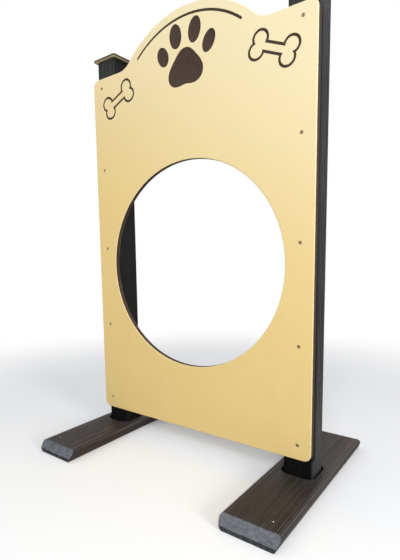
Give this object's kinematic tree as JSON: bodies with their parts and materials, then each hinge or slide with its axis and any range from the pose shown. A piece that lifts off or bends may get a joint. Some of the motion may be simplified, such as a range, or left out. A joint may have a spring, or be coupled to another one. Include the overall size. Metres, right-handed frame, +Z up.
{
  "type": "dog agility hoop",
  "caption": "Free-standing panel with a round opening for a dog to jump through, on two square posts set in long ribbed foot boards.",
  "frame": {"origin": "on the ground, midway between the two posts and halfway along the foot boards", "axes": "+X along the panel's width to its right as seen from the front, -Y towards the front, +Z up"},
  "size_m": [0.947, 0.7, 1.5],
  "materials": {
    "panel_plastic": "sand-yellow skins over a dark brown core, satin with a fine grain",
    "post_plastic": "anthracite recycled plastic, matt, with fine lengthwise lines",
    "board_plastic": "dark brown-grey recycled plastic, matt and ribbed, mottled where sawn",
    "cap_plastic": "square of two-colour sheet, a dark brown core between thin sand-yellow skins",
    "coated_steel": "olive-brown coated steel",
    "stainless_steel": "bare stainless steel"
  },
  "bodies": {
    "root": {"panel": "panel_plastic", "left_post": "post_plastic", "right_post": "post_plastic", "left_post_cap": "cap_plastic", "right_post_cap": "cap_plastic", "left_foot_board": "board_plastic", "right_foot_board": "board_plastic", "left_panel_screw_1": "coated_steel", "left_panel_screw_2": "coated_steel", "left_panel_screw_3": "coated_steel", "left_panel_screw_4": "coated_steel", "left_panel_screw_5": "coated_steel", "right_panel_screw_1": "coated_steel", "right_panel_screw_2": "coated_steel", "right_panel_screw_3": "coated_steel", "right_panel_screw_4": "coated_steel", "right_panel_screw_5": "coated_steel", "left_cap_screw_1": "stainless_steel", "left_cap_screw_2": "stainless_steel", "right_cap_screw_1": "stainless_steel", "right_cap_screw_2": "stainless_steel", "left_board_screw": "stainless_steel", "right_board_screw": "stainless_steel", "left_foot_washer_1": "stainless_steel", "left_foot_washer_2": "stainless_steel", "left_foot_washer_3": "stainless_steel", "left_foot_washer_4": "stainless_steel", "right_foot_washer_1": "stainless_steel", "right_foot_washer_2": "stainless_steel", "right_foot_washer_3": "stainless_steel", "right_foot_washer_4": "stainless_steel", "left_foot_screw_1": "stainless_steel", "left_foot_screw_2": "stainless_steel", "left_foot_screw_3": "stainless_steel", "left_foot_screw_4": "stainless_steel", "right_foot_screw_1": "stainless_steel", "right_foot_screw_2": "stainless_steel", "right_foot_screw_3": "stainless_steel", "right_foot_screw_4": "stainless_steel"}
  },
  "joints": []
}
